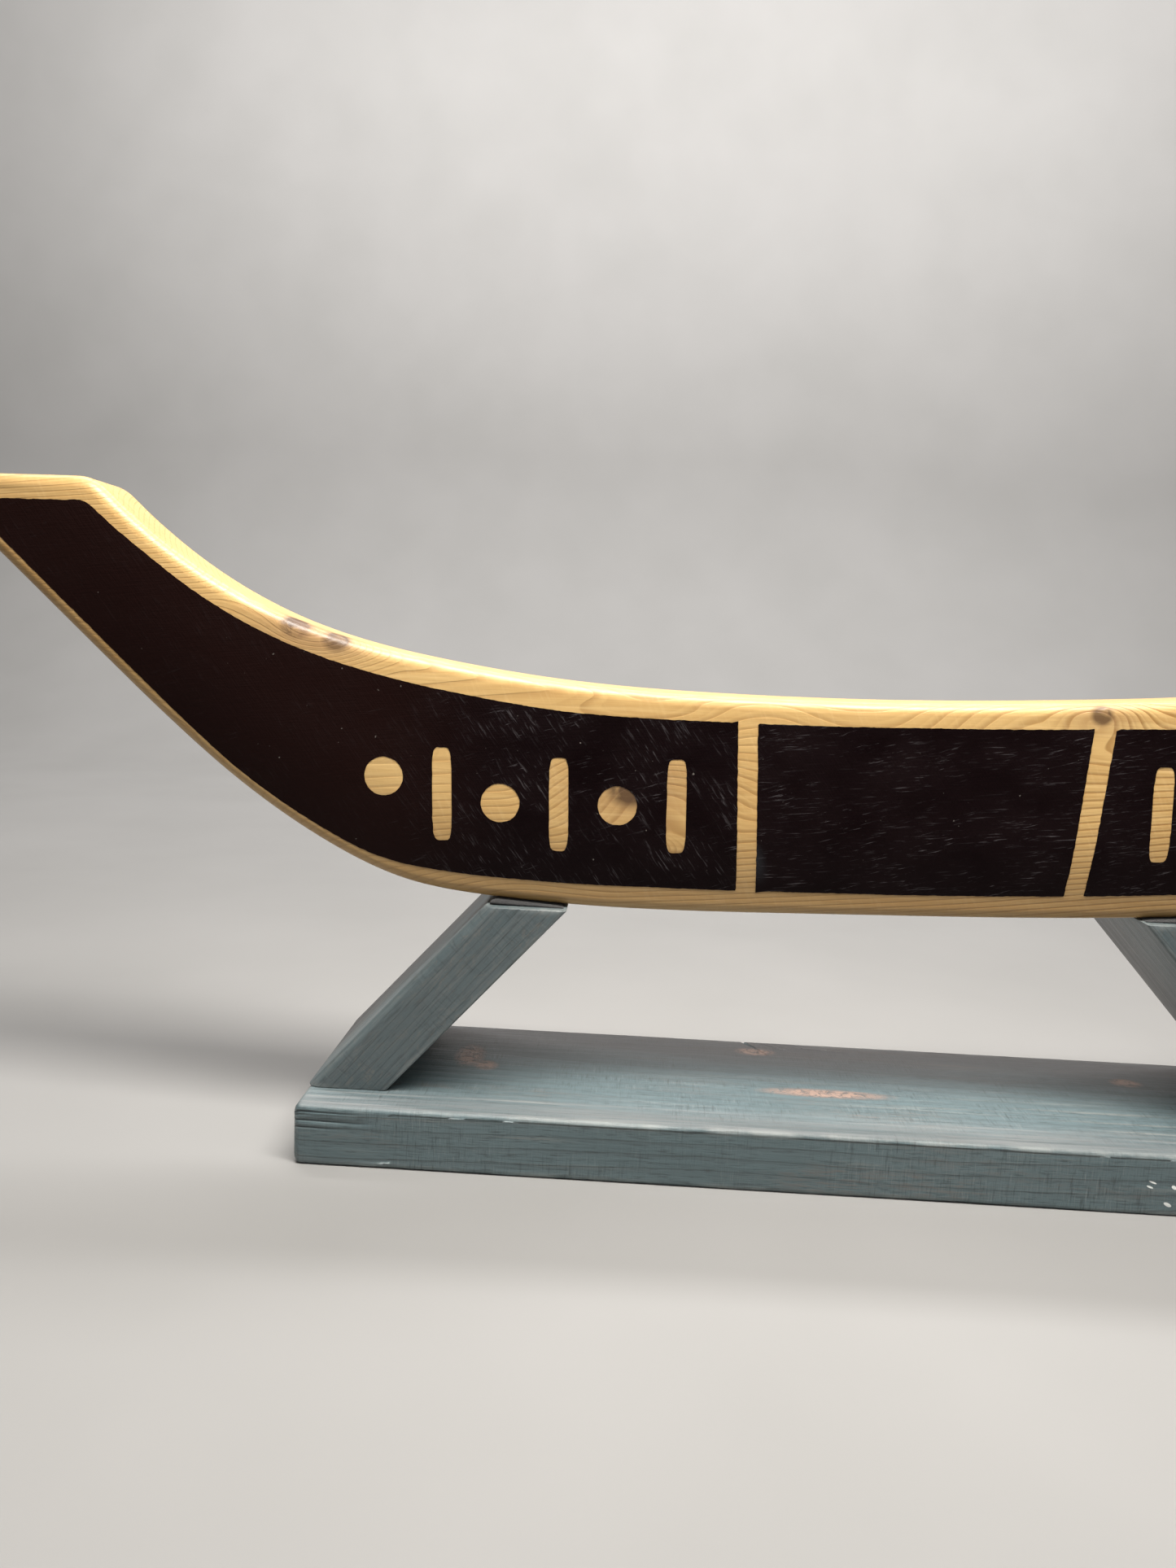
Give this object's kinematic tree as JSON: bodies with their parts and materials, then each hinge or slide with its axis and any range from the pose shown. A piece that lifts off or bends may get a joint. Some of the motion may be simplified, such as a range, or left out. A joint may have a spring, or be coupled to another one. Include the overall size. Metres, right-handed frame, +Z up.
{
  "type": "decorative boomerang on display stand",
  "caption": "Large painted cedar boomerang with upswept flat-topped arms, resting upright on a stained timber stand with leaning struts.",
  "frame": {"origin": "centre of the base board's underside", "axes": "+X along the board and the boomerang, +Y from the painted face to the back, +Z up"},
  "size_m": [1.1939, 0.1524, 0.4482],
  "materials": {
    "cedar": "satin varnish with painted panels",
    "black_paint": "satin brushed paint",
    "stained_timber": "worn blue-grey stain",
    "felt": "matte",
    "dowel_wood": "bare",
    "screw_steel": "zinc plated"
  },
  "bodies": {
    "stand": {"base_board": "stained_timber", "left_strut": "stained_timber", "right_strut": "stained_timber", "left_pad": "felt", "right_pad": "felt", "left_dowel": "dowel_wood", "right_dowel": "dowel_wood", "left_screws": "screw_steel", "right_screws": "screw_steel"},
    "boomerang_body": {"boomerang": "cedar"}
  },
  "joints": [
    {"name": "lift_off", "type": "slide", "parent": "stand", "child": "boomerang_body", "axis": [0, 0, 1], "range_m": [0, 0.1]}
  ]
}
